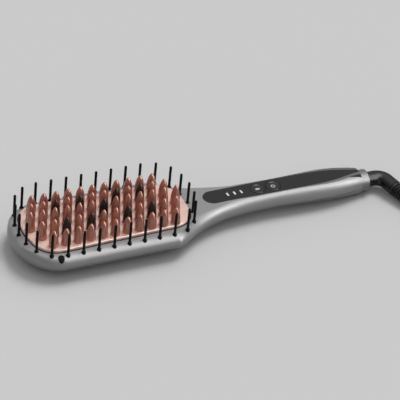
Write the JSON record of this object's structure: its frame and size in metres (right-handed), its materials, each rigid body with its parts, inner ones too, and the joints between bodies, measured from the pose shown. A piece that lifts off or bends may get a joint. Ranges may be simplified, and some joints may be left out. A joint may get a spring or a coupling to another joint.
{
  "type": "heated hair straightening brush",
  "caption": "Heated straightening brush with cone bristles on a warm plate, guard pins, a control panel with push buttons and a swivel mains cord.",
  "frame": {"origin": "on the rest face of the head's back, straight under the middle bristle", "axes": "+X along the handle towards the cord, +Z out of the bristles, +Y to the left seen from the head"},
  "size_m": [0.4262, 0.1575, 0.0403],
  "materials": {
    "silver_housing": "satin metallic silver paint",
    "collar_silver": "satin",
    "rose_gold": "rose-gold ceramic coating",
    "dark_bristle": "dark brown-black, semi-gloss",
    "black_plastic": "fine satin black",
    "gloss_panel": "high gloss black",
    "gunmetal_trim": "gunmetal metallic",
    "button_black": "satin gloss black",
    "window_clear": "frosted translucent white",
    "seal_rubber": "matte silicone",
    "cord_rubber": "satin black sheath",
    "steel": "zinc plated",
    "nickel": "nickel plated brass",
    "brass": "bare brass",
    "board_green": "solder-masked glass epoxy",
    "component_black": "moulded component",
    "ceramic": "fired ceramic",
    "amber_film": "amber polyimide film",
    "mica": "laminated mica",
    "acetal": "natural acetal",
    "frame_plastic": "heat-resistant moulding",
    "wire_insulation": "red silicone insulation"
  },
  "bodies": {
    "brush": {"front_shell": "silver_housing", "rear_shell": "silver_housing", "end_collar": "collar_silver", "heated_plate": "rose_gold", "heated_bristles_left_inner": "rose_gold", "heated_bristles_left_outer": "rose_gold", "heated_bristles_middle": "rose_gold", "heated_bristles_right_inner": "rose_gold", "heated_bristles_right_outer": "rose_gold", "dark_bristles_left_inner": "dark_bristle", "dark_bristles_middle": "dark_bristle", "dark_bristles_right_inner": "dark_bristle", "guard_pins_heel": "black_plastic", "guard_pins_left": "black_plastic", "guard_pins_right": "black_plastic", "guard_pins_toe": "black_plastic", "pin_frame": "frame_plastic", "plate_seal": "seal_rubber", "control_panel": "gloss_panel", "trim_strips": "gunmetal_trim", "tail_wedges": "black_plastic", "push_switches": "component_black", "indicator_windows": "window_clear", "indicator_leds": "window_clear", "circuit_board": "board_green", "board_screws": "steel", "handle_screws": "steel", "head_screws": "steel", "plate_screws": "steel", "clamp_screws": "steel", "insulating_films": "amber_film", "electrode_strips": "brass", "heating_elements": "ceramic", "heater_clamp": "steel", "thermal_fuse": "ceramic", "temperature_sensor": "ceramic", "heat_shield": "mica", "heater_wires": "wire_insulation", "mains_wires": "wire_insulation", "ion_wire": "wire_insulation", "ion_generator": "component_black", "ion_emitter": "component_black", "ion_grille": "black_plastic", "swivel_bush": "acetal", "contact_fingers": "brass", "contact_block": "frame_plastic"},
    "mode_button": {"mode_button": "button_black", "mode_plunger": "acetal"},
    "power_button": {"power_button": "button_black", "power_plunger": "acetal"},
    "swivel": {"swivel_spindle": "component_black", "contact_rings": "brass", "swivel_elbow": "black_plastic", "strain_relief": "cord_rubber", "power_cord": "cord_rubber", "cord_coil": "cord_rubber", "coil_tie": "cord_rubber", "plug_lead": "cord_rubber", "plug_body": "cord_rubber", "plug_pins": "nickel"}
  },
  "joints": [
    {"name": "mode_button_press", "type": "slide", "parent": "brush", "child": "mode_button", "axis": [0, 0, -1], "range_m": [0, 0.0005], "stiffness_N_per_m": 2000, "springref_m": -0.0001},
    {"name": "power_button_press", "type": "slide", "parent": "brush", "child": "power_button", "axis": [0, 0, -1], "range_m": [0, 0.0005], "stiffness_N_per_m": 2000, "springref_m": -0.0001},
    {"name": "cord_swivel", "type": "hinge", "parent": "brush", "child": "swivel", "pos_m": [0.2307, 0, 0.0095], "axis": [1, 0, 0], "continuous": true}
  ]
}
